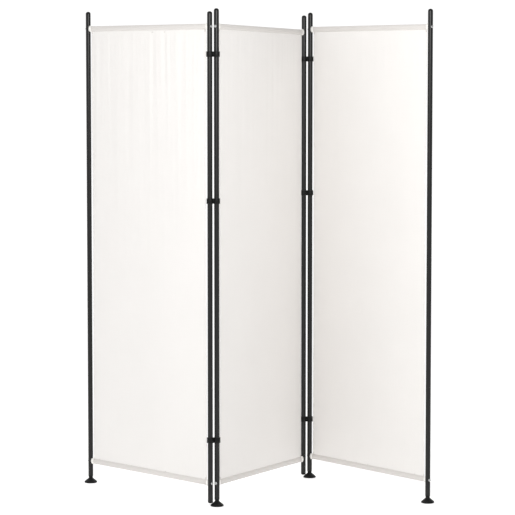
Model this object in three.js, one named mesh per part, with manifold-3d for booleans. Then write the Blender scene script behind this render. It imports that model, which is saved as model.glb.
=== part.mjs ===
// A three-panel folding room divider screen.
// Each panel is a fabric sheet stretched between two flat oval rods, and each rod is bolted at both
// ends to a round steel post. Neighbouring panels are joined by double-ring clips that turn on both
// posts.
// Units are millimetres, +Z is up, the floor is Z = 0 and the front faces -Y.

import * as THREE from "three";
import { mergeVertices } from "three/addons/utils/BufferGeometryUtils.js";
import Module from "manifold-3d";

const wasm = await Module();
wasm.setup();

// ---------------------------------------------------------------- driving dimensions

const OVERALL_HEIGHT = 1850; // floor to the top of a footed post's cap
const PANEL_PITCH = 697; // post axis to post axis across a panel
const PAIR_SPACING = 25; // post axis to post axis across a joint
const CLEARANCE = 0.3; // between pieces that touch or slide

const LEFT_PANEL_ANGLE = -46; // plan direction of each panel, from its left post to its right post
const MIDDLE_PANEL_ANGLE = 61.5;
const RIGHT_PANEL_ANGLE = -51.5;

const POST_RADIUS = 9.5;
const POST_WALL = 1;
const POST_BORE = POST_RADIUS - POST_WALL;
const POST_BOTTOM = 28; // height of a footed post's lower end
const UNFOOTED_DROP = 11; // a post with an end plug sits this much lower than one with a foot
const CAP_HEIGHT = 8.5;
const CAP_RADIUS = 9.2; // caps and plugs are a little slimmer than the tube
const CAP_RIM_HEIGHT = 1.2; // straight edge below the dome
const POST_LENGTH = OVERALL_HEIGHT - CAP_HEIGHT - POST_BOTTOM;
const SPIGOT_RADIUS = POST_BORE - 0.4; // caps, plugs and feet push into the post with this radius
const SPIGOT_LENGTH = 22;

const FOOT_RADIUS = 25.2;
const FOOT_SOLE_RADIUS = 22.5;
const FOOT_RIM_HEIGHT = 4.4; // where the foot is widest
const FOOT_EDGE = 1; // the rim's edges are broken by about this much
const FOOT_WAIST_RADIUS = 16.8; // the cone bulges a little here
const FOOT_WAIST_HEIGHT = 11.8;
const FOOT_NECK_RADIUS = 7.6;
const FOOT_NECK_HEIGHT = 20;
const PLUG_HEIGHT = 6;

const BOTTOM_ROD_HEIGHT = 87;
const TOP_ROD_HEIGHT = 1784;
const ROD_HALF_HEIGHT = 9; // rods and saddles are flat ovals that stand upright
const ROD_HALF_WIDTH = 3.6;
const ROD_WALL = 1;
const SADDLE_HALF_HEIGHT = 12;
const SADDLE_HALF_WIDTH = 5.6;
const SADDLE_START = 5; // from the post's axis, before the saddle is coped to the post
const SADDLE_END = 19;
const SADDLE_SPIGOT_HALF_HEIGHT = ROD_HALF_HEIGHT - ROD_WALL - CLEARANCE;
const SADDLE_SPIGOT_HALF_WIDTH = ROD_HALF_WIDTH - ROD_WALL - CLEARANCE;
const SADDLE_SPIGOT_LENGTH = 15;
const ROD_START = SADDLE_END + CLEARANCE;

const BOLT_RADIUS = 2.5;
const BOLT_HOLE_RADIUS = BOLT_RADIUS + CLEARANCE;
const BOLT_REACH = 16.5; // the bolt's tip, from the post's axis towards the panel
const BOLT_BORE_END = 17.5;
const BOLT_HEAD_RADIUS = 5.5;
const BOLT_HEAD_HEIGHT = 2.4;
const BOLT_CROWN_RADIUS = 3.4; // flat top of the button head
const BOLT_EDGE_HEIGHT = 0.9; // straight edge of the button head
const HEX_SOCKET_RADIUS = 2.1;
const HEX_SOCKET_DEPTH = 1.6;

const LEFT_CLIP_HEIGHTS = { top: 1682, middle: 1141, bottom: 249 };
const RIGHT_CLIP_HEIGHTS = { top: 1668, middle: 1140, bottom: 236 };
const CLIP_HEIGHT = 20;
const CLIP_RING_RADIUS = 12.7;
const CLIP_WEB_WIDTH = 10;
const CLIP_WEB_HEIGHT = 14;
const CLIP_WEB_SLOT = 3.2;

const FABRIC_INSET = 20; // from a post's axis to the fabric's side edge
const FABRIC_THICKNESS = 1.2;
const SLEEVE_THICKNESS = 1.2;

const ROUND_SEGMENTS = 24; // posts, clips and feet
const SMALL_SEGMENTS = 16; // caps and plugs
const BOLT_SEGMENTS = 10;
const ARC_SEGMENTS = 10; // each half round of a ring, a rod or a sleeve
const DOME_STEPS = 3;

// ---------------------------------------------------------------- materials

function finish(color, roughness, metalness) {
  return new THREE.MeshStandardMaterial({ color, roughness, metalness });
}

const blackSteel = () => finish(0x232323, 0.45, 0.3);
const blackPlastic = () => finish(0x191919, 0.55, 0);
const whiteSteel = () => finish(0xe6e4e0, 0.4, 0.2);
const whitePlastic = () => finish(0xf0eee9, 0.5, 0);
const zincSteel = () => finish(0xb9bcbf, 0.3, 0.9);
const whiteFabric = () => finish(0xf1eee9, 0.9, 0);

// ---------------------------------------------------------------- solids

// A manifold solid of a closed three.js geometry.
function solidOf(geometry) {
  const bare = geometry.index ? geometry.toNonIndexed() : geometry.clone();
  bare.deleteAttribute("normal");
  bare.deleteAttribute("uv");
  const merged = mergeVertices(bare, 1e-4);
  return new wasm.Manifold(
    new wasm.Mesh({
      numProp: 3,
      vertProperties: merged.attributes.position.array,
      triVerts: new Uint32Array(merged.index.array),
    }),
  );
}

// The three.js geometry of a manifold solid, with flat faces.
function geometryOf(solid) {
  const mesh = solid.getMesh();
  const geometry = new THREE.BufferGeometry();
  geometry.setAttribute("position", new THREE.BufferAttribute(mesh.vertProperties, 3));
  geometry.setIndex(new THREE.BufferAttribute(mesh.triVerts, 1));
  const faceted = geometry.toNonIndexed();
  faceted.computeVertexNormals();
  return faceted;
}

// Turns a profile of [radius, height] points round the Z axis.
function turned(profile, segments) {
  const points = profile.map(([radius, height]) => new THREE.Vector2(radius, height));
  return new THREE.LatheGeometry(points, segments).rotateX(Math.PI / 2);
}

// Turns a profile of [radius, distance] points round the X axis.
function turnedAlongX(profile, segments) {
  return turned(profile, segments).rotateY(Math.PI / 2);
}

function cylinderAlongX(radius, start, end, segments) {
  const profile = [[0, start], [radius, start], [radius, end], [0, end]];
  return turnedAlongX(profile, segments);
}

// Traces an upright oval round the given height.
function traceOval(path, halfWidth, halfHeight, height = 0) {
  path.absellipse(0, height, halfWidth, halfHeight, 0, 2 * Math.PI);
  return path;
}

// Extrudes a section, drawn across the panel and upwards, along the panel.
function extrudedAlongX(section, start, end) {
  const bar = new THREE.ExtrudeGeometry(section, {
    depth: end - start,
    bevelEnabled: false,
    curveSegments: ARC_SEGMENTS,
  });
  const sideways = new THREE.Matrix4().makeBasis(
    new THREE.Vector3(0, 1, 0),
    new THREE.Vector3(0, 0, 1),
    new THREE.Vector3(1, 0, 0),
  );
  return bar.applyMatrix4(sideways).translate(start, 0, 0);
}

// Slants a geometry so that it goes down by the given fall over one panel pitch of its +X.
function slanted(geometry, fall) {
  const shear = new THREE.Matrix4().makeShear(0, -fall / PANEL_PITCH, 0, 0, 0, 0);
  return geometry.applyMatrix4(shear);
}

// Points on a quarter of an ellipse, from the rim at its widest to the axis at its tip.
function domeProfile(radius, base, height) {
  const points = [];
  for (let step = 0; step < DOME_STEPS; step += 1) {
    const angle = (Math.PI / 2) * (step / DOME_STEPS);
    points.push([radius * Math.cos(angle), base + height * Math.sin(angle)]);
  }
  points.push([0, base + height]);
  return points;
}

// ---------------------------------------------------------------- pieces of a post

// The tube is drilled right through at both rods, along the panel; Z = 0 is its lower end.
// The drop is from the rods' own heights to the tube's lower end.
function postTube(drop) {
  const profile = [
    [POST_BORE, 0],
    [POST_RADIUS, 0],
    [POST_RADIUS, POST_LENGTH],
    [POST_BORE, POST_LENGTH],
    [POST_BORE, 0],
  ];
  const reach = POST_RADIUS + 1;
  let tube = solidOf(turned(profile, ROUND_SEGMENTS));
  for (const rodHeight of [BOTTOM_ROD_HEIGHT, TOP_ROD_HEIGHT]) {
    const hole = cylinderAlongX(BOLT_HOLE_RADIUS, -reach, reach, BOLT_SEGMENTS);
    hole.translate(0, 0, rodHeight - drop);
    tube = tube.subtract(solidOf(hole));
  }
  return geometryOf(tube);
}

// A domed cap that pushes into the post's upper end; Z = 0 is the end of the tube.
function postCap() {
  const domeBase = CLEARANCE + CAP_RIM_HEIGHT;
  const profile = [
    [0, -SPIGOT_LENGTH],
    [SPIGOT_RADIUS, -SPIGOT_LENGTH],
    [SPIGOT_RADIUS, CLEARANCE],
    [CAP_RADIUS, CLEARANCE],
    ...domeProfile(CAP_RADIUS, domeBase, CAP_HEIGHT - domeBase),
  ];
  return turned(profile, SMALL_SEGMENTS);
}

// A rounded plug for the lower end of a post that has no foot; Z = 0 is the end of the tube.
function endPlug() {
  const domeBase = CLEARANCE + CAP_RIM_HEIGHT;
  const dome = domeProfile(CAP_RADIUS, domeBase, PLUG_HEIGHT - domeBase);
  const profile = [
    ...dome.reverse().map(([radius, depth]) => [radius, -depth]),
    [CAP_RADIUS, -CLEARANCE],
    [SPIGOT_RADIUS, -CLEARANCE],
    [SPIGOT_RADIUS, SPIGOT_LENGTH],
    [0, SPIGOT_LENGTH],
  ];
  return turned(profile, SMALL_SEGMENTS);
}

// A push-in foot: flat sole, rounded rim, cone up to a narrow neck, shoulder and spigot.
function foot() {
  const shoulder = POST_BOTTOM - CLEARANCE;
  const spigotTop = POST_BOTTOM + SPIGOT_LENGTH;
  const profile = [
    [0, 0],
    [FOOT_SOLE_RADIUS, 0],
    [FOOT_RADIUS - FOOT_EDGE, FOOT_RIM_HEIGHT / 2],
    [FOOT_RADIUS, FOOT_RIM_HEIGHT],
    [FOOT_RADIUS - FOOT_EDGE, FOOT_RIM_HEIGHT + FOOT_EDGE],
    [FOOT_WAIST_RADIUS, FOOT_WAIST_HEIGHT],
    [FOOT_NECK_RADIUS, FOOT_NECK_HEIGHT],
    [POST_RADIUS, shoulder],
    [SPIGOT_RADIUS, shoulder],
    [SPIGOT_RADIUS, spigotTop],
    [0, spigotTop],
  ];
  return turned(profile, ROUND_SEGMENTS);
}

// ---------------------------------------------------------------- pieces of a rod

function rod() {
  const section = traceOval(new THREE.Shape(), ROD_HALF_WIDTH, ROD_HALF_HEIGHT);
  const boreHalfWidth = ROD_HALF_WIDTH - ROD_WALL;
  const boreHalfHeight = ROD_HALF_HEIGHT - ROD_WALL;
  section.holes.push(traceOval(new THREE.Path(), boreHalfWidth, boreHalfHeight));
  return extrudedAlongX(section, ROD_START, PANEL_PITCH - ROD_START);
}

// The rod's end piece: a collar coped to the post, a spigot into the rod and a bore for the bolt.
function saddle() {
  const collarSection = traceOval(new THREE.Shape(), SADDLE_HALF_WIDTH, SADDLE_HALF_HEIGHT);
  const spigotSection = traceOval(
    new THREE.Shape(),
    SADDLE_SPIGOT_HALF_WIDTH,
    SADDLE_SPIGOT_HALF_HEIGHT,
  );
  const spigotEnd = SADDLE_END + SADDLE_SPIGOT_LENGTH;
  const collar = extrudedAlongX(collarSection, SADDLE_START, SADDLE_END);
  const spigot = extrudedAlongX(spigotSection, BOLT_BORE_END, spigotEnd);
  const cope = new THREE.CylinderGeometry(
    POST_RADIUS + CLEARANCE,
    POST_RADIUS + CLEARANCE,
    4 * SADDLE_HALF_HEIGHT,
    ROUND_SEGMENTS,
  ).rotateX(Math.PI / 2);
  const bore = cylinderAlongX(BOLT_HOLE_RADIUS, 0, BOLT_BORE_END, BOLT_SEGMENTS);
  const body = solidOf(collar).subtract(solidOf(cope)).subtract(solidOf(bore));
  return geometryOf(body.add(solidOf(spigot)));
}

// A button-head bolt with a hexagon socket, through the post and into the saddle.
function bolt() {
  const seat = -POST_RADIUS - CLEARANCE;
  const crown = seat - BOLT_HEAD_HEIGHT;
  const profile = [
    [0, crown],
    [BOLT_CROWN_RADIUS, crown],
    [BOLT_HEAD_RADIUS, seat - BOLT_EDGE_HEIGHT],
    [BOLT_HEAD_RADIUS, seat],
    [BOLT_RADIUS, seat],
    [BOLT_RADIUS, BOLT_REACH],
    [0, BOLT_REACH],
  ];
  const socket = cylinderAlongX(HEX_SOCKET_RADIUS, crown - 1, crown + HEX_SOCKET_DEPTH, 6);
  const body = solidOf(turnedAlongX(profile, BOLT_SEGMENTS));
  return geometryOf(body.subtract(solidOf(socket)));
}

// ---------------------------------------------------------------- clip and fabric

// Two rings side by side, joined by a web that is lower than the rings.
function clip() {
  const half = PAIR_SPACING / 2;
  const webAngle = Math.asin(CLIP_WEB_WIDTH / 2 / CLIP_RING_RADIUS);
  const outline = new THREE.Shape();
  outline.absarc(half, 0, CLIP_RING_RADIUS, webAngle - Math.PI, Math.PI - webAngle, false);
  outline.absarc(-half, 0, CLIP_RING_RADIUS, webAngle, 2 * Math.PI - webAngle, false);
  outline.closePath();
  for (const side of [-half, half]) {
    const hole = new THREE.Path();
    hole.absarc(side, 0, POST_RADIUS + CLEARANCE, 0, 2 * Math.PI, true);
    outline.holes.push(hole);
  }
  const rings = new THREE.ExtrudeGeometry(outline, {
    depth: CLIP_HEIGHT,
    bevelEnabled: false,
    curveSegments: ARC_SEGMENTS,
  });
  rings.translate(0, 0, -CLIP_HEIGHT / 2);
  const slotDepth = (CLIP_HEIGHT - CLIP_WEB_HEIGHT) / 2;
  let body = solidOf(rings);
  for (const end of [-1, 1]) {
    const slot = new THREE.BoxGeometry(CLIP_WEB_SLOT, 2 * CLIP_RING_RADIUS, 2 * slotDepth);
    slot.translate(0, 0, (end * CLIP_HEIGHT) / 2);
    body = body.subtract(solidOf(slot));
  }
  return geometryOf(body);
}

// One sheet with a sleeve round each rod, open at both ends.
function fabric() {
  const boreHalfWidth = ROD_HALF_WIDTH + CLEARANCE;
  const boreHalfHeight = ROD_HALF_HEIGHT + CLEARANCE;
  const halfWidth = boreHalfWidth + SLEEVE_THICKNESS;
  const halfHeight = boreHalfHeight + SLEEVE_THICKNESS;
  const join = Math.asin(FABRIC_THICKNESS / 2 / halfWidth);
  const down = -Math.PI / 2;
  const up = Math.PI / 2;
  const turn = 2 * Math.PI;
  const section = new THREE.Shape();
  section.absellipse(0, TOP_ROD_HEIGHT, halfWidth, halfHeight, down + join, down + turn - join);
  section.absellipse(0, BOTTOM_ROD_HEIGHT, halfWidth, halfHeight, up + join, up + turn - join);
  section.closePath();
  for (const height of [TOP_ROD_HEIGHT, BOTTOM_ROD_HEIGHT]) {
    section.holes.push(traceOval(new THREE.Path(), boreHalfWidth, boreHalfHeight, height));
  }
  return extrudedAlongX(section, FABRIC_INSET, PANEL_PITCH - FABRIC_INSET);
}

// ---------------------------------------------------------------- assembly

function addPiece(group, name, geometry, material, x = 0, z = 0) {
  const mesh = new THREE.Mesh(geometry, material);
  mesh.name = name;
  mesh.position.set(x, 0, z);
  group.add(mesh);
  return mesh;
}

// A post stands at x = 0 of its own group; it has a foot, or an end plug and a lower stance.
// The rods' fall is how far they have come down where they reach the post.
function makePost(name, footed, rodFall) {
  const post = new THREE.Group();
  const bottom = footed ? POST_BOTTOM : POST_BOTTOM - UNFOOTED_DROP;
  addPiece(post, `${name}_post_tube`, postTube(bottom + rodFall), blackSteel(), 0, bottom);
  addPiece(post, `${name}_post_cap`, postCap(), blackPlastic(), 0, bottom + POST_LENGTH);
  if (footed) {
    addPiece(post, `${name}_foot`, foot(), blackPlastic());
  } else {
    addPiece(post, `${name}_end_plug`, endPlug(), blackPlastic(), 0, bottom);
  }
  return post;
}

// The right-hand end of a rod is the left-hand end turned half round.
function addRodEnds(panel, name, height, fall) {
  for (const side of ["left", "right"]) {
    const isLeft = side === "left";
    const end = new THREE.Group();
    end.position.set(isLeft ? 0 : PANEL_PITCH, 0, isLeft ? height : height - fall);
    end.rotation.z = isLeft ? 0 : Math.PI;
    const outwardFall = isLeft ? fall : -fall;
    addPiece(end, `${name}_${side}_saddle`, slanted(saddle(), outwardFall), whitePlastic());
    addPiece(end, `${name}_${side}_bolt`, slanted(bolt(), outwardFall), zincSteel());
    panel.add(end);
  }
}

// A panel runs along its own +X, from the left post at 0 to the right post at PANEL_PITCH.
// Its rods fall by the given height on the way.
function makePanel(name, leftFooted, rightFooted, fall) {
  const panel = new THREE.Group();
  const rightPost = makePost(`${name}_right`, rightFooted, fall);
  rightPost.position.x = PANEL_PITCH;
  panel.add(makePost(`${name}_left`, leftFooted, 0), rightPost);
  const rodHeights = { top: TOP_ROD_HEIGHT, bottom: BOTTOM_ROD_HEIGHT };
  for (const [place, height] of Object.entries(rodHeights)) {
    addPiece(panel, `${name}_${place}_rod`, slanted(rod(), fall), whiteSteel(), 0, height);
    addRodEnds(panel, `${name}_${place}`, height, fall);
  }
  addPiece(panel, `${name}_fabric`, slanted(fabric(), fall), whiteFabric());
  return panel;
}

function makeClips(name, heights) {
  const clips = new THREE.Group();
  for (const [place, height] of Object.entries(heights)) {
    addPiece(clips, `${name}_${place}_clip`, clip(), blackPlastic(), PAIR_SPACING / 2, height);
  }
  return clips;
}

// Puts a group at a point of the plan, turned so that its +X runs at the angle given in degrees,
// and returns the point that lies one length further along it.
function placeAlong(group, point, degrees, length) {
  const angle = THREE.MathUtils.degToRad(degrees);
  group.position.set(point.x, point.y, 0);
  group.rotation.z = angle;
  const step = new THREE.Vector2(Math.cos(angle), Math.sin(angle)).multiplyScalar(length);
  return point.clone().add(step);
}

// The clips of a joint stand half way between the directions of its two panels.
const leftClipAngle = (LEFT_PANEL_ANGLE + MIDDLE_PANEL_ANGLE) / 2;
const rightClipAngle = (MIDDLE_PANEL_ANGLE + RIGHT_PANEL_ANGLE) / 2;

const leftPanel = makePanel("left_panel", true, false, 0);
const leftClips = makeClips("left_joint", LEFT_CLIP_HEIGHTS);
const middlePanel = makePanel("middle_panel", true, false, UNFOOTED_DROP);
const rightClips = makeClips("right_joint", RIGHT_CLIP_HEIGHTS);
const rightPanel = makePanel("right_panel", true, true, 0);

let point = new THREE.Vector2(0, 0);
point = placeAlong(leftPanel, point, LEFT_PANEL_ANGLE, PANEL_PITCH);
point = placeAlong(leftClips, point, leftClipAngle, PAIR_SPACING);
point = placeAlong(middlePanel, point, MIDDLE_PANEL_ANGLE, PANEL_PITCH);
point = placeAlong(rightClips, point, rightClipAngle, PAIR_SPACING);
placeAlong(rightPanel, point, RIGHT_PANEL_ANGLE, PANEL_PITCH);

const screen = new THREE.Group();
screen.add(leftPanel, leftClips, middlePanel, rightClips, rightPanel);

// The footprint's centre goes to the origin.
const footprint = new THREE.Box3().setFromObject(screen, true);
const centre = footprint.getCenter(new THREE.Vector3());
screen.position.set(-centre.x, -centre.y, 0);

export default screen;
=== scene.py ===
"""A three-panel folding room divider screen: fabric, fine pieces, materials, light and camera."""

import math

import bmesh
import bpy
from mathutils import Matrix, Vector, noise


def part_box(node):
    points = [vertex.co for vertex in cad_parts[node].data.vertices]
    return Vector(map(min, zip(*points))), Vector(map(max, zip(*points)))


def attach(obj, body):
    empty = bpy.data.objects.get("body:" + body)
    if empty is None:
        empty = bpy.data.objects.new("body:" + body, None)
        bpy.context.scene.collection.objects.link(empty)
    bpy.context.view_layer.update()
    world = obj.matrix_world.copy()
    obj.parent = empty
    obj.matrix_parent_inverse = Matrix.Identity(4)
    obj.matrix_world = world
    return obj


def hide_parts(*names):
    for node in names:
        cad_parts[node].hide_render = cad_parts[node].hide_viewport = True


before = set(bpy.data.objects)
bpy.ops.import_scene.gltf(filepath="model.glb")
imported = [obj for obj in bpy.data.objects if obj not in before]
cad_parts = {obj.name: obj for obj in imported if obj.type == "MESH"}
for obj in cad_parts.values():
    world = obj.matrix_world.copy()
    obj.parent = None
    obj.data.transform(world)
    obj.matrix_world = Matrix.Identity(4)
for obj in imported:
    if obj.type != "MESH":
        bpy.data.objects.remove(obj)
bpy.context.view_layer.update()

MM = 0.001

# Sizes of the fine pieces, in metres. They fill the space that their CAD solids hold.
PANEL_PITCH = 697 * MM
POST_RADIUS = 9.5 * MM
POST_BORE = 8.5 * MM
SPIGOT_RADIUS = 8.1 * MM
SPIGOT_LENGTH = 22 * MM
CAP_RADIUS = 9.25 * MM
ROD_HALF_HEIGHT = 9 * MM  # rods and saddles are flat ovals that stand upright
ROD_HALF_WIDTH = 3.6 * MM
ROD_WALL = 1 * MM
SADDLE_HALF_HEIGHT = 12 * MM
SADDLE_HALF_WIDTH = 5.6 * MM
SADDLE_END = 19 * MM
SADDLE_BORE = 2.75 * MM
SADDLE_BORE_END = 17.5 * MM
SADDLE_SPIGOT_HALF_HEIGHT = 7.7 * MM
SADDLE_SPIGOT_HALF_WIDTH = 2.3 * MM
SADDLE_SPIGOT_END = 34 * MM
BOLT_RADIUS = 2.5 * MM
BOLT_REACH = 16.5 * MM
BOLT_HEAD_RADIUS = 5.5 * MM
BOLT_CROWN = -12.2 * MM
HEX_ACROSS_FLATS = 3.6 * MM
HEX_DEPTH = 1.6 * MM
CLIP_HALF_SPACING = 12.5 * MM
CLIP_RING_RADIUS = 12.7 * MM
CLIP_BORE = 9.7 * MM
CLIP_HEIGHT = 20 * MM
CLIP_WEB_HEIGHT = 14 * MM
CLIP_WEB_WIDTH = 10 * MM
CLIP_WEB_LENGTH = 5.6 * MM

FABRIC_INSET = 20 * MM
FABRIC_THICKNESS = 0.4 * MM
SLEEVE_HALF_HEIGHT = 9.6 * MM  # the cloth's middle, round the rod
SLEEVE_HALF_WIDTH = 4.3 * MM
STITCH_DROP = 10.6 * MM  # rod's centre to the line that closes a sleeve
STITCH_LENGTH = 3.4 * MM
STITCH_PITCH = 4.8 * MM
THREAD_RADIUS = 0.3 * MM
FLAP_LENGTH = 9 * MM  # turned-in cloth behind the sheet, beyond that line
HEM_WIDTH = 8 * MM  # turned-in cloth at the side edges

ROUND = 64  # points round posts, feet and saddles
SMOOTH_ANGLE = math.radians(38)

PANELS = ("left", "middle", "right")
BODY_OF_PANEL = {name: f"panel_{name}" for name in PANELS}
FOOTED = {
    "left": {"left": True, "right": False},
    "middle": {"left": True, "right": False},
    "right": {"left": True, "right": True},
}


# ---------------------------------------------------------------- places, from the frame


def middle_of(node):
    low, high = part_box(node)
    return (low + high) / 2


def post_place(panel, side):
    """The post's axis on the floor."""
    centre = middle_of(f"{panel}_panel_{side}_post_tube")
    return Vector((centre.x, centre.y, 0))


def panel_angle(panel):
    along = post_place(panel, "right") - post_place(panel, "left")
    return math.atan2(along.y, along.x)


def placed(point, angle):
    return Matrix.Translation(point) @ Matrix.Rotation(angle, 4, "Z")


def rod_height(panel, level, side):
    """The height at which a rod's axis meets a post."""
    return middle_of(f"{panel}_panel_{level}_{side}_bolt").z


def rod_slope(panel):
    """How much the panel's rods rise, for each metre towards the right."""
    rise = rod_height(panel, "top", "right") - rod_height(panel, "top", "left")
    return rise / PANEL_PITCH


def slanted(mesh, slope):
    """The mesh sheared upwards by the slope along its X."""
    shear = Matrix.Identity(4)
    shear[2][0] = slope
    mesh.transform(shear)
    return mesh


# ---------------------------------------------------------------- mesh tools


def make_object(name, mesh, matrix, body, slot, stands_for, *materials):
    """Puts a finished mesh in place as a piece that rides on a body and stands for CAD nodes."""
    for material in materials:
        mesh.materials.append(material)
    piece = bpy.data.objects.new(name, mesh)
    bpy.context.scene.collection.objects.link(piece)
    piece.matrix_world = matrix
    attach(piece, body)
    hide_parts(*stands_for)
    return piece


def finished(name, work):
    """A smooth mesh from a bmesh, with its faces pointing out and its hard edges kept sharp."""
    bmesh.ops.remove_doubles(work, verts=work.verts, dist=1e-7)
    bmesh.ops.recalc_face_normals(work, faces=work.faces)
    mesh = bpy.data.meshes.new(name)
    work.to_mesh(mesh)
    work.free()
    mesh.shade_smooth()
    mesh.set_sharp_from_angle(angle=SMOOTH_ANGLE)
    return mesh


def loft(name, rings, cyclic=False):
    """A skin through rings that have as many points each; a ring of one point is a tip."""
    work = bmesh.new()
    made = [[work.verts.new(point) for point in ring] for ring in rings]
    pairs = list(zip(made, made[1:]))
    if cyclic:
        pairs.append((made[-1], made[0]))
    for near, far in pairs:
        count = max(len(near), len(far))
        for index in range(count):
            after = (index + 1) % count
            if len(near) == 1:
                work.faces.new((near[0], far[index], far[after]))
            elif len(far) == 1:
                work.faces.new((near[index], far[0], near[after]))
            else:
                work.faces.new((near[index], far[index], far[after], near[after]))
    return finished(name, work)


def circle(radius, height, count=ROUND):
    """Points round the Z axis, or the single tip point for a radius of nothing."""
    if radius < 1e-9:
        return [Vector((0, 0, height))]
    angles = [2 * math.pi * index / count for index in range(count)]
    return [Vector((radius * math.cos(a), radius * math.sin(a), height)) for a in angles]


def along_x(points):
    """The same points with their height along X, for what is turned round a rod's axis."""
    return [Vector((p.z, p.x, p.y)) for p in points]


def oval(half_width, half_height, x, count=ROUND):
    """Points round an upright oval at a distance along X."""
    angles = [2 * math.pi * index / count for index in range(count)]
    return [Vector((x, half_width * math.cos(a), half_height * math.sin(a))) for a in angles]


def rounded(profile, radius, steps=4):
    """A [radius, height] profile whose inner corners are rounded off."""
    points = [Vector(p) for p in profile]
    smooth = [points[0]]
    for before, corner, after in zip(points, points[1:], points[2:]):
        reach = min(radius, (before - corner).length * 0.45, (after - corner).length * 0.45)
        start = corner + (before - corner).normalized() * reach
        end = corner + (after - corner).normalized() * reach
        for step in range(steps + 1):
            t = step / steps
            smooth.append(start * (1 - t) ** 2 + corner * 2 * t * (1 - t) + end * t**2)
    smooth.append(points[-1])
    return smooth


def turned(name, profile, count=ROUND, cyclic=False):
    return loft(name, [circle(r, h, count) for r, h in profile], cyclic)


def dome(radius, base, height, steps=10):
    """Profile points of half an ellipse, from its rim to its tip."""
    quarter = math.pi / 2
    turns = [quarter * step / steps for step in range(steps)]
    points = [(radius * math.cos(a), base + height * math.sin(a)) for a in turns]
    return points + [(0, base + height)]


# ---------------------------------------------------------------- material tools


class Shader:
    """A Principled material with short calls for the nodes that feed it."""

    def __init__(self, name, color, roughness, metallic=0.0, specular=0.5):
        self.material = bpy.data.materials.new(name)
        self.material.use_nodes = True
        self.tree = self.material.node_tree
        self.surface = self.tree.nodes["Principled BSDF"]
        self.set("Base Color", (*color, 1))
        self.set("Roughness", roughness)
        self.set("Metallic", metallic)
        self.set("Specular IOR Level", specular)

    def set(self, socket, value):
        self.surface.inputs[socket].default_value = value

    def node(self, kind, **inputs):
        made = self.tree.nodes.new(kind)
        for key, value in inputs.items():
            self.feed(made.inputs[key.replace("_", " ")], value)
        return made

    def feed(self, socket, value):
        if isinstance(value, bpy.types.NodeSocket):
            self.tree.links.new(value, socket)
        else:
            socket.default_value = value

    def math(self, operation, first, second=0.0):
        made = self.tree.nodes.new("ShaderNodeMath")
        made.operation = operation
        self.feed(made.inputs[0], first)
        self.feed(made.inputs[1], second)
        return made.outputs[0]

    def coordinates(self, kind="Object"):
        return self.tree.nodes.new("ShaderNodeTexCoord").outputs[kind]

    def stretched(self, vector, scale):
        made = self.tree.nodes.new("ShaderNodeMapping")
        self.feed(made.inputs["Vector"], vector)
        made.inputs["Scale"].default_value = scale
        return made.outputs["Vector"]

    def noise(self, vector, scale, detail=3.0, roughness=0.5):
        made = self.node(
            "ShaderNodeTexNoise", Vector=vector, Scale=scale, Detail=detail, Roughness=roughness
        )
        return made.outputs["Fac"]

    def between(self, fac, low, high):
        """Fac from 0 to 1 becomes a number from low to high."""
        made = self.node("ShaderNodeMapRange", Value=fac, To_Min=low, To_Max=high)
        return made.outputs["Result"]

    def mix(self, fac, first, second):
        made = self.tree.nodes.new("ShaderNodeMix")
        made.data_type = "RGBA"
        self.feed(made.inputs["Factor"], fac)
        self.feed(made.inputs["A"], (*first, 1) if isinstance(first, tuple) else first)
        self.feed(made.inputs["B"], (*second, 1) if isinstance(second, tuple) else second)
        return made.outputs["Result"]

    def bump(self, height, distance, strength):
        made = self.node("ShaderNodeBump", Height=height, Distance=distance, Strength=strength)
        self.feed(self.surface.inputs["Normal"], made.outputs["Normal"])
        return made


# ---------------------------------------------------------------- materials


def black_powder_coat():
    """Satin black powder coat: a faint orange peel and slightly uneven gloss."""
    shader = Shader("black_powder_coat", (0.005, 0.005, 0.005), 0.36, specular=0.36)
    place = shader.coordinates()
    peel = shader.noise(place, 900.0, detail=2.0)
    cloud = shader.noise(place, 30.0, detail=2.0)
    shader.feed(shader.surface.inputs["Base Color"],
                shader.mix(cloud, (0.003, 0.003, 0.003), (0.006, 0.006, 0.006)))
    shader.feed(shader.surface.inputs["Roughness"], shader.between(cloud, 0.3, 0.37))
    shader.bump(peel, 0.06 * MM, 0.5)
    return shader.material


def black_moulded_plastic():
    """Black plastic with a fine spark-eroded grain."""
    shader = Shader("black_moulded_plastic", (0.008, 0.008, 0.008), 0.42, specular=0.15)
    place = shader.coordinates()
    grain = shader.noise(place, 1600.0, detail=3.0, roughness=0.6)
    cloud = shader.noise(place, 60.0, detail=2.0)
    shader.feed(shader.surface.inputs["Base Color"],
                shader.mix(cloud, (0.005, 0.005, 0.005), (0.009, 0.009, 0.009)))
    shader.feed(shader.surface.inputs["Roughness"], shader.between(grain, 0.34, 0.5))
    shader.bump(grain, 0.08 * MM, 0.5)
    return shader.material


def white_moulded_plastic():
    shader = Shader("white_moulded_plastic", (0.86, 0.845, 0.81), 0.38)
    place = shader.coordinates()
    grain = shader.noise(place, 1200.0, detail=2.0)
    cloud = shader.noise(place, 80.0, detail=2.0)
    shader.feed(shader.surface.inputs["Base Color"],
                shader.mix(cloud, (0.84, 0.825, 0.79), (0.88, 0.865, 0.835)))
    shader.feed(shader.surface.inputs["Roughness"], shader.between(grain, 0.32, 0.44))
    shader.bump(grain, 0.04 * MM, 0.4)
    return shader.material


def white_powder_coat():
    shader = Shader("white_powder_coat", (0.8, 0.79, 0.76), 0.35)
    place = shader.coordinates()
    peel = shader.noise(place, 900.0, detail=2.0)
    shader.feed(shader.surface.inputs["Base Color"],
                shader.mix(peel, (0.78, 0.77, 0.74), (0.82, 0.81, 0.78)))
    shader.feed(shader.surface.inputs["Roughness"], shader.between(peel, 0.3, 0.4))
    shader.bump(peel, 0.05 * MM, 0.5)
    return shader.material


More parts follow.
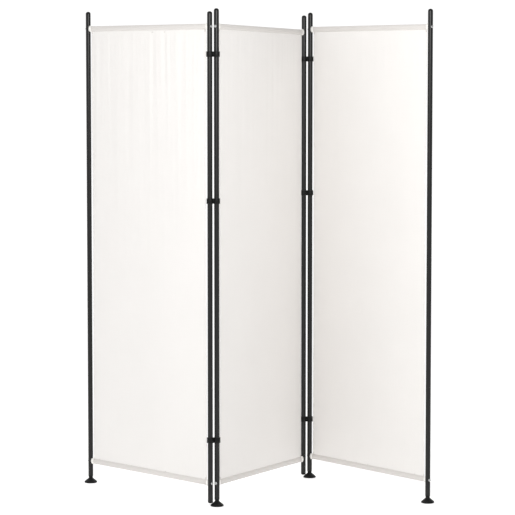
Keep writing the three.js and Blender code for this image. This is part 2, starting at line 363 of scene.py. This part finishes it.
def zinc_plating():
    """Bright zinc with the turning marks of the head and a faint warm and cool stain."""
    shader = Shader("zinc_plating", (0.5, 0.51, 0.53), 0.3, metallic=1.0)
    place = shader.coordinates()
    marks = shader.noise(shader.stretched(place, (4000.0, 300.0, 300.0)), 1.0, detail=2.0)
    stain = shader.noise(place, 220.0, detail=2.0)
    shader.feed(shader.surface.inputs["Base Color"],
                shader.mix(stain, (0.44, 0.46, 0.49), (0.54, 0.53, 0.51)))
    shader.feed(shader.surface.inputs["Roughness"], shader.between(marks, 0.2, 0.36))
    shader.bump(marks, 0.03 * MM, 0.5)
    return shader.material


def woven_cloth(name, light, dark):
    """Plain-woven polyester: threads over and under, thicker threads here and there."""
    shader = Shader(name, light, 0.85, specular=0.2)
    shader.set("Sheen Weight", 0.15)
    shader.set("Sheen Roughness", 0.5)
    place = shader.coordinates("UV")
    separate = shader.node("ShaderNodeSeparateXYZ", Vector=place)
    thread = math.pi / (0.5 * MM)
    warp = shader.math("SINE", shader.math("MULTIPLY", separate.outputs["X"], thread))
    weft = shader.math("SINE", shader.math("MULTIPLY", separate.outputs["Y"], thread))
    over_under = shader.math("MULTIPLY", warp, weft)
    slub_across = shader.noise(shader.stretched(place, (12.0, 900.0, 1.0)), 1.0, detail=2.0)
    slub_down = shader.noise(shader.stretched(place, (900.0, 12.0, 1.0)), 1.0, detail=2.0)
    slubs = shader.math("MULTIPLY", slub_across, slub_down)
    height = shader.math("ADD", shader.math("MULTIPLY", over_under, 0.35), slubs)
    cloud = shader.noise(place, 5.0, detail=3.0)
    tone = shader.math("ADD", shader.math("MULTIPLY", cloud, 0.6), slubs)
    shader.feed(shader.surface.inputs["Base Color"], shader.mix(tone, dark, light))
    shader.feed(shader.surface.inputs["Roughness"], shader.between(slubs, 0.8, 0.95))
    shader.bump(height, 0.12 * MM, 0.6)
    return shader.material


def sewing_thread():
    """Twisted polyester thread: fine slanting ridges along each stitch."""
    shader = Shader("sewing_thread", (0.62, 0.60, 0.57), 0.7, specular=0.25)
    place = shader.coordinates()
    twist = shader.noise(shader.stretched(place, (4200.0, 900.0, 2600.0)), 1.0, detail=1.0)
    shader.feed(shader.surface.inputs["Base Color"],
                shader.mix(twist, (0.50, 0.48, 0.45), (0.70, 0.68, 0.65)))
    shader.bump(twist, 0.05 * MM, 0.6)
    return shader.material


# ---------------------------------------------------------------- pieces of a post


def post_tube(name):
    low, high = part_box(name)
    edge = 0.25 * MM
    length = high.z - low.z
    profile = [
        (POST_BORE, 0),
        (POST_RADIUS - edge, 0),
        (POST_RADIUS, edge),
        (POST_RADIUS, length - edge),
        (POST_RADIUS - edge, length),
        (POST_BORE, length),
    ]
    return turned(name, profile, cyclic=True), low.z


def post_cap(name):
    """A dome on a short straight rim, and the spigot that holds it in the tube."""
    low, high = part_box(name)
    rim = low.z + SPIGOT_LENGTH
    rise = high.z - rim
    straight = 1.2 * MM
    profile = [
        (0, -SPIGOT_LENGTH),
        (SPIGOT_RADIUS - 1 * MM, -SPIGOT_LENGTH),
        (SPIGOT_RADIUS, -SPIGOT_LENGTH + 2 * MM),
        (SPIGOT_RADIUS, 0),
        (CAP_RADIUS, 0),
        *dome(CAP_RADIUS, straight, rise - straight),
    ]
    return turned(name, profile), rim


def end_plug(name):
    low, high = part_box(name)
    rim = high.z - SPIGOT_LENGTH
    fall = rim - low.z
    straight = 1 * MM
    upside_down = [
        (0, -SPIGOT_LENGTH),
        (SPIGOT_RADIUS - 1 * MM, -SPIGOT_LENGTH),
        (SPIGOT_RADIUS, -SPIGOT_LENGTH + 2 * MM),
        (SPIGOT_RADIUS, 0),
        (CAP_RADIUS, 0),
        *dome(CAP_RADIUS, straight, fall - straight),
    ]
    profile = [(radius, -height) for radius, height in reversed(upside_down)]
    return turned(name, profile), rim


def foot(name):
    """Flat sole, rounded rim, a slightly hollow cone up to the neck, shoulder and spigot."""
    low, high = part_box(name)
    shoulder = high.z - SPIGOT_LENGTH
    outline = [
        (0, 0),
        (22.5 * MM, 0),
        (24.8 * MM, 1.7 * MM),
        (25.2 * MM, 4.5 * MM),
        (23.6 * MM, 6.6 * MM),
        (17.0 * MM, 12.0 * MM),
        (9.6 * MM, 17.6 * MM),
        (7.6 * MM, 20.2 * MM),
        (8.6 * MM, 24.4 * MM),
        (POST_RADIUS, shoulder - 0.6 * MM),
        (POST_RADIUS - 0.4 * MM, shoulder),
        (SPIGOT_RADIUS, shoulder),
        (SPIGOT_RADIUS, high.z - 1 * MM),
        (SPIGOT_RADIUS - 1 * MM, high.z),
        (0, high.z),
    ]
    return turned(name, rounded(outline, 1.4 * MM)), 0.0


def make_post(panel, side, materials):
    name = f"{panel}_panel_{side}"
    footed = FOOTED[panel][side]
    parts = [
        (f"{name}_post_tube", post_tube, "black_steel", materials["steel"]),
        (f"{name}_post_cap", post_cap, "black_plastic", materials["plastic"]),
    ]
    if footed:
        parts.append((f"{name}_foot", foot, "black_plastic", materials["plastic"]))
    else:
        parts.append((f"{name}_end_plug", end_plug, "black_plastic", materials["plastic"]))
    for node, build, slot, material in parts:
        mesh, base = build(node)
        matrix = placed(post_place(panel, side) + Vector((0, 0, base)), panel_angle(panel))
        make_object(f"fine_{node}", mesh, matrix, BODY_OF_PANEL[panel], slot, [node], material)


# ---------------------------------------------------------------- pieces of a rod


def rod(name):
    """A flat oval tube between the saddles."""
    edge = 0.3 * MM
    start, end = SADDLE_END, PANEL_PITCH - SADDLE_END
    steps = [(ROD_WALL, start), (edge, start), (0, start + edge)]
    steps += [(0, end - edge), (edge, end), (ROD_WALL, end)]
    rings = [oval(ROD_HALF_WIDTH - inset, ROD_HALF_HEIGHT - inset, x) for inset, x in steps]
    return loft(name, rings, cyclic=True)


def cope(point, lift):
    """How far along X a saddle's face lies where it cups the post, lift above the seat."""
    reach = POST_RADIUS + 0.05 * MM
    return math.sqrt(reach**2 - point.y**2) + lift


def saddle(name):
    """An oval collar coped to the post, a spigot in the rod and a blind bore for the bolt."""
    bore_end = [Vector((SADDLE_BORE_END, 0, 0))]
    rings = [bore_end, oval(SADDLE_BORE, SADDLE_BORE, SADDLE_BORE_END)]
    rim = 0.7 * MM
    face = [(0, 0.4 * MM, 0), (0.06, 0, 0)]
    face += [(share, 0, 0) for share in (0.3, 0.55, 0.75)]
    face += [(1, 0, rim), (1, 0.2 * MM, 0.2 * MM), (1, rim, 0)]
    for share, lift, inset in face:
        half_width = SADDLE_BORE + (SADDLE_HALF_WIDTH - SADDLE_BORE) * share - inset
        half_height = SADDLE_BORE + (SADDLE_HALF_HEIGHT - SADDLE_BORE) * share - inset
        ring = oval(half_width, half_height, 0)
        rings.append([Vector((cope(point, lift), point.y, point.z)) for point in ring])
    back = [(0, SADDLE_END - 2.2 * MM), (0.4 * MM, SADDLE_END - 0.8 * MM), (1.3 * MM, SADDLE_END)]
    for inset, x in back:
        rings.append(oval(SADDLE_HALF_WIDTH - inset, SADDLE_HALF_HEIGHT - inset, x))
    for inset, x in ((0, SADDLE_END), (0, SADDLE_SPIGOT_END - 1 * MM), (1 * MM, SADDLE_SPIGOT_END)):
        rings.append(oval(SADDLE_SPIGOT_HALF_WIDTH - inset, SADDLE_SPIGOT_HALF_HEIGHT - inset, x))
    rings.append([Vector((SADDLE_SPIGOT_END, 0, 0))])
    return loft(name, rings)


def hexagon(across_flats, height, count=ROUND - ROUND % 6):
    """Points round a hexagon, at even angles."""
    points = []
    for index in range(count):
        angle = 2 * math.pi * index / count
        from_flat = (angle + math.pi / 6) % (math.pi / 3) - math.pi / 6
        radius = across_flats / 2 / math.cos(from_flat)
        points.append(Vector((radius * math.cos(angle), radius * math.sin(angle), height)))
    return points


def bolt(name):
    """A button head with a hexagon socket, seated on the post, and a plain shank."""
    count = ROUND - ROUND % 6
    seat = -POST_RADIUS
    profile = [
        (3.3 * MM, BOLT_CROWN),
        (3.9 * MM, BOLT_CROWN + 0.12 * MM),
        (4.8 * MM, BOLT_CROWN + 0.65 * MM),
        (5.4 * MM, BOLT_CROWN + 1.5 * MM),
        (BOLT_HEAD_RADIUS, seat - 0.7 * MM),
        (BOLT_HEAD_RADIUS, seat - 0.15 * MM),
        (BOLT_HEAD_RADIUS - 0.15 * MM, seat),
        (BOLT_RADIUS, seat),
        (BOLT_RADIUS, BOLT_REACH - 1 * MM),
        (BOLT_RADIUS - 1 * MM, BOLT_REACH),
        (0, BOLT_REACH),
    ]
    rings = [
        circle(0, BOLT_CROWN + HEX_DEPTH + 0.6 * MM),
        hexagon(HEX_ACROSS_FLATS, BOLT_CROWN + HEX_DEPTH, count),
        hexagon(HEX_ACROSS_FLATS, BOLT_CROWN + 0.2 * MM, count),
        hexagon(HEX_ACROSS_FLATS + 0.4 * MM, BOLT_CROWN, count),
    ]
    rings += [circle(radius, x, count) for radius, x in profile]
    return loft(name, [along_x(ring) for ring in rings])


def make_rods(panel, materials):
    body = BODY_OF_PANEL[panel]
    angle = panel_angle(panel)
    slope = rod_slope(panel)
    for level in ("top", "bottom"):
        name = f"{panel}_panel_{level}"
        height = Vector((0, 0, rod_height(panel, level, "left")))
        matrix = placed(post_place(panel, "left") + height, angle)
        make_object(f"fine_{name}_rod", slanted(rod(name), slope), matrix, body, "white_steel",
                    [f"{name}_rod"], materials["white_steel"])
        for side, turn, outward in (("left", 0, slope), ("right", math.pi, -slope)):
            height = Vector((0, 0, rod_height(panel, level, side)))
            matrix = placed(post_place(panel, side) + height, angle + turn)
            ends = (
                ("saddle", saddle, "white_plastic", materials["white_plastic"]),
                ("bolt", bolt, "zinc_bolt", materials["zinc"]),
            )
            for kind, build, slot, material in ends:
                node = f"{name}_{side}_{kind}"
                make_object(f"fine_{node}", slanted(build(node), outward), matrix, body, slot,
                            [node], material)


# ---------------------------------------------------------------- clips


def ring_work(offset):
    """One ring of a clip with rounded edges, as a mesh object that a boolean can use."""
    half = CLIP_HEIGHT / 2
    corner = 0.9 * MM
    outer, inner = CLIP_RING_RADIUS, CLIP_BORE
    profile = [
        (inner, -half + 0.3 * MM),
        (inner + 0.3 * MM, -half),
        (outer - corner, -half),
        (outer - 0.27 * corner, -half + 0.27 * corner),
        (outer, -half + corner),
        (outer, half - corner),
        (outer - 0.27 * corner, half - 0.27 * corner),
        (outer - corner, half),
        (inner + 0.3 * MM, half),
        (inner, half - 0.3 * MM),
    ]
    mesh = turned("ring", profile, cyclic=True)
    mesh.transform(Matrix.Translation((offset, 0, 0)))
    return mesh


def web_work():
    """The block between the rings: lower than they are, with rounded edges."""
    work = bmesh.new()
    bmesh.ops.create_cube(work, size=1)
    size = (CLIP_WEB_LENGTH, CLIP_WEB_WIDTH, CLIP_WEB_HEIGHT)
    bmesh.ops.scale(work, vec=size, verts=work.verts)
    bmesh.ops.bevel(work, geom=work.edges[:], offset=0.8 * MM, segments=3, affect="EDGES",
                    profile=0.5)
    return finished("web", work)


def joined(name, meshes):
    """The meshes as one solid, joined by boolean modifiers."""
    objects = [bpy.data.objects.new(f"{name}_{index}", mesh) for index, mesh in enumerate(meshes)]
    for item in objects:
        bpy.context.scene.collection.objects.link(item)
    first = objects[0]
    for other in objects[1:]:
        union = first.modifiers.new("join", "BOOLEAN")
        union.operation = "UNION"
        union.solver = "EXACT"
        union.object = other
    bpy.context.view_layer.update()
    graph = bpy.context.evaluated_depsgraph_get()
    mesh = bpy.data.meshes.new_from_object(first.evaluated_get(graph))
    for item in objects:
        bpy.data.objects.remove(item)
    mesh.name = name
    mesh.shade_smooth()
    mesh.set_sharp_from_angle(angle=SMOOTH_ANGLE)
    return mesh


def make_clips(joint, material):
    """The clips of a joint lie along the line between the two posts that they hold."""
    neighbours = {"left": ("left", "middle"), "right": ("middle", "right")}[joint]
    near, far = post_place(neighbours[0], "right"), post_place(neighbours[1], "left")
    angle = math.atan2(far.y - near.y, far.x - near.x)
    for level in ("top", "middle", "bottom"):
        node = f"{joint}_joint_{level}_clip"
        rings = [ring_work(-CLIP_HALF_SPACING), web_work(), ring_work(CLIP_HALF_SPACING)]
        place = (near + far) / 2 + Vector((0, 0, middle_of(node).z))
        make_object(f"fine_{node}", joined(node, rings), placed(place, angle),
                    f"clips_{joint}", "black_plastic", [node], material)


# ---------------------------------------------------------------- fabric

# How strongly each panel's cloth is creased: the left one shows its folds most.
FOLD_STRENGTH = {"left": 1.0, "middle": 0.3, "right": 0.25}
COLUMN_STEP = 3.2 * MM
FIRST_ROW_STEP = 1.4 * MM
WIDEST_ROW_STEP = 14 * MM
ROW_GROWTH = 1.16


def graded_rows(length):
    """Distances along the sheet, close together at its seams and further apart between them."""
    steps = []
    step = FIRST_ROW_STEP
    while 2 * sum(steps) + 2 * step < length:
        steps.append(step)
        step = min(step * ROW_GROWTH, WIDEST_ROW_STEP)
    share = (length / 2) / sum(steps)
    rows = [0.0]
    for step in steps + steps[::-1]:
        rows.append(rows[-1] + step * share)
    return rows


def sleeve_path(centre, front):
    """Cloth round a rod at height centre: from the flap behind, over the rod to the front seam.

    front is 1 for the sleeve at the top and -1 for the one at the bottom, which is its mirror
    image. Points are (y, z); the front of the panel faces -Y.
    """
    drop = STITCH_DROP
    layer = 0.32 * MM
    points = [(layer * 2.2, -drop - FLAP_LENGTH), (layer * 1.9, -drop - FLAP_LENGTH * 0.5)]
    points.append((layer, -drop))
    start = -math.pi / 2 + 0.35
    sweep = 2 * math.pi - 0.7
    steps = 26
    for step in range(steps + 1):
        angle = start + sweep * step / steps
        points.append((SLEEVE_HALF_WIDTH * math.cos(angle), SLEEVE_HALF_HEIGHT * math.sin(angle)))
    return [Vector((y, centre + front * z)) for y, z in points]


def cloth_path(top, bottom):
    """The cloth's middle line seen from the side, and which of its points are sleeve."""
    upper = sleeve_path(top, 1)
    lower = sleeve_path(bottom, -1)[::-1]
    seam_top, seam_bottom = top - STITCH_DROP, bottom + STITCH_DROP
    sheet = [Vector((0, seam_top - row)) for row in graded_rows(seam_top - seam_bottom)]
    path = upper + sheet + lower
    is_sleeve = [True] * len(upper) + [False] * len(sheet) + [True] * len(lower)
    return path, is_sleeve


def hemmed_columns(width):
    """(distance across, layers behind) for each column: the side edges are folded to the back."""
    count = round((width - 2 * HEM_WIDTH) / COLUMN_STEP)
    flat = [HEM_WIDTH + (width - 2 * HEM_WIDTH) * index / count for index in range(count + 1)]
    lap = 1.9
    fold = [(HEM_WIDTH, lap), (HEM_WIDTH * 0.5, lap), (0.6 * MM, lap * 0.9), (0.12 * MM, lap * 0.5)]
    fold += [(0.6 * MM, 0.1), (HEM_WIDTH * 0.5, 0)]
    right = [(width - x, layer) for x, layer in reversed(fold)]
    return fold + [(x, 0) for x in flat] + right


def wrinkle(x, z, seam_top, seam_bottom, seed, strength):
    """How far the sheet stands off its flat plane: folds that hang from the top seam, puckers
    at both seams, and a broad soft wave."""
    below_top, above_bottom = seam_top - z, z - seam_bottom
    folds = noise.noise(Vector((x / 0.034, below_top / 1.1, seed)))
    folds += 0.5 * noise.noise(Vector((x / 0.016, below_top / 0.5, seed + 7)))
    hang = math.exp(-below_top / 0.42) * (1 - math.exp(-below_top / 0.03))
    low_folds = noise.noise(Vector((x / 0.045, above_bottom / 0.7, seed + 13)))
    rise = math.exp(-above_bottom / 0.16) * (1 - math.exp(-above_bottom / 0.02))
    pucker = noise.noise(Vector((x / 0.0075, z / 0.03, seed + 23)))
    gather = math.exp(-below_top / 0.02) + 1.5 * math.exp(-above_bottom / 0.024)
    broad = noise.noise(Vector((x / 0.3, z / 0.55, seed + 31)))
    span = seam_top - seam_bottom
    belly = math.sin(math.pi * min(max(below_top / span, 0), 1))
    return MM * (strength * (4.2 * folds * hang + 2.0 * low_folds * rise + 3.0 * broad * belly)
                 + 0.55 * pucker * gather)


def sleeve_wrinkle(x, share, seed):
    """Puckers of the sleeve, strongest at its seam; share is 0 at the seam and 1 over the rod."""
    pucker = noise.noise(Vector((x / 0.0075, share, seed + 41)))
    soft = noise.noise(Vector((x / 0.05, share, seed + 53)))
    return MM * (0.5 * pucker * (1 - share) ** 1.5 + 0.22 * soft)


def cloth_mesh(name, panel, width, top, bottom):
    path, is_sleeve = cloth_path(top, bottom)
    columns = hemmed_columns(width)
    seed = 100.0 * (1 + PANELS.index(panel))
    seam_top, seam_bottom = top - STITCH_DROP, bottom + STITCH_DROP
    strength = FOLD_STRENGTH[panel]
    lengths = [0.0]
    for before, after in zip(path, path[1:]):
        lengths.append(lengths[-1] + (after - before).length)
    work = bmesh.new()
    sheet_map = work.loops.layers.uv.new("cloth")
    grid = []
    for row, point in enumerate(path):
        before, after = path[max(row - 1, 0)], path[min(row + 1, len(path) - 1)]
        tangent = (after - before).normalized()
        outward = Vector((tangent.y, -tangent.x))  # towards the front on the sheet
        line = []
        for across, layers in columns:
            middle = abs(2 * across / width - 1)
            if is_sleeve[row]:
                centre = top if point.y > (top + bottom) / 2 else bottom
                towards_sheet = (centre - point.y) * (1 if centre == top else -1)
                share = min(max((STITCH_DROP - towards_sheet) / SLEEVE_HALF_HEIGHT, 0), 1)
                off = -sleeve_wrinkle(across, share, seed + centre)
                bow = 0.0
            else:
                off = wrinkle(across, point.y, seam_top, seam_bottom, seed, strength)
                rise = (seam_top - point.y) / (seam_top - seam_bottom)
                bow = 2.2 * MM * math.sin(math.pi * min(max(rise, 0), 1)) * middle**3
            inward = bow if across < width / 2 else -bow
            off -= layers * FABRIC_THICKNESS
            y, z = point + outward * off
            line.append(work.verts.new((across + inward, y, z)))
        grid.append(line)
    for row, (upper, lower) in enumerate(zip(grid, grid[1:])):
        for column in range(len(columns) - 1):
            corners = (upper[column], upper[column + 1], lower[column + 1], lower[column])
            face = work.faces.new(corners)
            # sleeve faces take the second material: the same cloth painted darker, as painted shade
            face.material_index = 1 if is_sleeve[row] or is_sleeve[row + 1] else 0
            spots = ((row, column), (row, column + 1), (row + 1, column + 1), (row + 1, column))
            for loop, (r, c) in zip(face.loops, spots):
                fold = columns[c][1] * HEM_WIDTH
                loop[sheet_map].uv = (columns[c][0] + fold, lengths[r])
    mesh = bpy.data.meshes.new(name)
    work.to_mesh(mesh)
    work.free()
    mesh.shade_smooth()
    return mesh, lengths[-1]


def stitch_mesh(name, panel, width, top, bottom):
    """Rows of small thread loops that show on the front of both seams."""
    seed = 100.0 * (1 + PANELS.index(panel))
    seam_top, seam_bottom = top - STITCH_DROP, bottom + STITCH_DROP
    work = bmesh.new()
    count = int((width - 2 * STITCH_PITCH) / STITCH_PITCH)
    for seam, towards_sheet in ((seam_top, -1), (seam_bottom, 1)):
        height = seam + towards_sheet * 1.1 * MM
        for index in range(count + 1):
            centre = STITCH_PITCH + (width - 2 * STITCH_PITCH) * index / count
            off = wrinkle(centre, height, seam_top, seam_bottom, seed, FOLD_STRENGTH[panel])
            for turn in range(7):
                along = STITCH_LENGTH * (turn / 6 - 0.5)
                thick = THREAD_RADIUS * math.cos(math.pi * (turn / 6 - 0.5) * 0.8)
                proud = 0.28 * MM * math.cos(math.pi * (turn / 6 - 0.5))
                ring = []
                for corner in range(8):
                    a = math.pi * corner / 4
                    place = (centre + along, -off - 0.1 * MM - proud + thick * math.sin(a),
                             height + thick * math.cos(a))
                    ring.append(work.verts.new(place))
                if turn == 0:
                    work.faces.new(ring)
                else:
                    for corner in range(8):
                        after = (corner + 1) % 8
                        work.faces.new((last[corner], ring[corner], ring[after], last[after]))
                last = ring
            work.faces.new(last[::-1])
    return finished(name, work)


def make_fabric(panel, materials):
    node = f"{panel}_panel_fabric"
    slope = rod_slope(panel)
    rise = slope * FABRIC_INSET
    top = rod_height(panel, "top", "left") + rise
    bottom = rod_height(panel, "bottom", "left") + rise
    width = PANEL_PITCH - 2 * FABRIC_INSET
    mesh, length = cloth_mesh(node, panel, width, top, bottom)
    angle = panel_angle(panel)
    step = Vector((math.cos(angle), math.sin(angle), 0)) * FABRIC_INSET
    matrix = placed(post_place(panel, "left") + step, angle)
    body = BODY_OF_PANEL[panel]
    cloth = make_object(f"fine_{node}", slanted(mesh, slope), matrix, body, "white_fabric",
                        [node], materials["sheet"], materials["sleeve"])
    thick = cloth.modifiers.new("thickness", "SOLIDIFY")
    thick.thickness = FABRIC_THICKNESS
    thick.offset = 0
    seams = slanted(stitch_mesh(f"{node}_stitches", panel, width, top, bottom), slope)
    stitches = make_object(f"fine_{node}_stitches", seams, matrix, body, "white_fabric", [],
                           materials["thread"])


# ---------------------------------------------------------------- studio

CAMERA_LENS = 161.1
CAMERA_SENSOR = 36
CAMERA_PLACE = (0.035, -8.816, 1.610)
CAMERA_AIM = (0.009, 0, 0.907)
KEY_PLACE = (0.15, -2.9, 2.12)
KEY_AIM = (0, 0, 1.5)
KEY_WIDTH = 1.2
KEY_HEIGHT = 0.45
KEY_POWER = 46
FLOOR_SIZE = 80
FLOOR_GLOW = 0.38
WORLD_BRIGHT = 1.05
WORLD_DIM = 0.35
DARK_SIDE = (0.55, -0.83, 0.0)  # the world is dimmest in this direction


def make_floor():
    """A pale floor that glows a little, so that it stays as white as the background."""
    bpy.ops.mesh.primitive_plane_add(size=FLOOR_SIZE, location=(0, 0, -0.1 * MM))
    floor = bpy.context.object
    floor.name = "studio_floor"
    shader = Shader("pale_floor", (0.93, 0.93, 0.93), 0.9, specular=0.0)
    shader.set("Emission Color", (1, 1, 1, 1))
    shader.set("Emission Strength", FLOOR_GLOW)
    floor.data.materials.append(shader.material)


def make_world():
    """White behind the object and softer in front of it, more so on the right."""
    world = bpy.data.worlds.new("studio")
    bpy.context.scene.world = world
    world.use_nodes = True
    tree = world.node_tree
    background = tree.nodes["Background"]
    background.inputs["Color"].default_value = (1, 1, 1, 1)
    place = tree.nodes.new("ShaderNodeTexCoord")
    across = tree.nodes.new("ShaderNodeVectorMath")
    across.operation = "DOT_PRODUCT"
    across.inputs[1].default_value = DARK_SIDE
    level = tree.nodes.new("ShaderNodeMapRange")
    level.interpolation_type = "SMOOTHSTEP"
    level.inputs["From Min"].default_value = -0.3
    level.inputs["From Max"].default_value = 0.6
    level.inputs["To Min"].default_value = WORLD_BRIGHT
    level.inputs["To Max"].default_value = WORLD_DIM
    tree.links.new(place.outputs["Generated"], across.inputs[0])
    tree.links.new(across.outputs["Value"], level.inputs["Value"])
    tree.links.new(level.outputs["Result"], background.inputs["Strength"])


def make_softbox(name, place, target, width, height, power):
    light = bpy.data.lights.new(name, "AREA")
    light.shape = "RECTANGLE"
    light.size = width
    light.size_y = height
    light.energy = power
    lamp = bpy.data.objects.new(name, light)
    bpy.context.scene.collection.objects.link(lamp)
    lamp.location = place
    aim = Vector(target) - Vector(place)
    lamp.rotation_euler = aim.to_track_quat("-Z", "Y").to_euler()
    return lamp


def make_camera():
    data = bpy.data.cameras.new("camera")
    data.sensor_width = CAMERA_SENSOR
    data.lens = CAMERA_LENS
    camera = bpy.data.objects.new("camera", data)
    bpy.context.scene.collection.objects.link(camera)
    camera.location = CAMERA_PLACE
    aim = Vector(CAMERA_AIM) - camera.location
    camera.rotation_euler = aim.to_track_quat("-Z", "Y").to_euler()
    bpy.context.scene.camera = camera


# ---------------------------------------------------------------- the whole scene

materials = {
    "steel": black_powder_coat(),
    "plastic": black_moulded_plastic(),
    "white_plastic": white_moulded_plastic(),
    "white_steel": white_powder_coat(),
    "zinc": zinc_plating(),
    "sheet": woven_cloth("woven_sheet", (0.83, 0.809, 0.788), (0.77, 0.749, 0.727)),
    # the sleeve is the sheet's own cloth painted darker: painted shade for the backlight that
    # shines through the single sheet but not through the sleeve round its rod
    "sleeve": woven_cloth("woven_sleeve_painted_shade", (0.68, 0.652, 0.628), (0.62, 0.596, 0.572)),
    "thread": sewing_thread(),
}

for panel in PANELS:
    for side in ("left", "right"):
        make_post(panel, side, materials)
    make_rods(panel, materials)
    make_fabric(panel, materials)
for joint in ("left", "right"):
    make_clips(joint, materials["plastic"])

make_floor()
make_world()
make_softbox("key", KEY_PLACE, KEY_AIM, KEY_WIDTH, KEY_HEIGHT, KEY_POWER)
make_camera()
bpy.context.scene.view_settings.view_transform = "Standard"
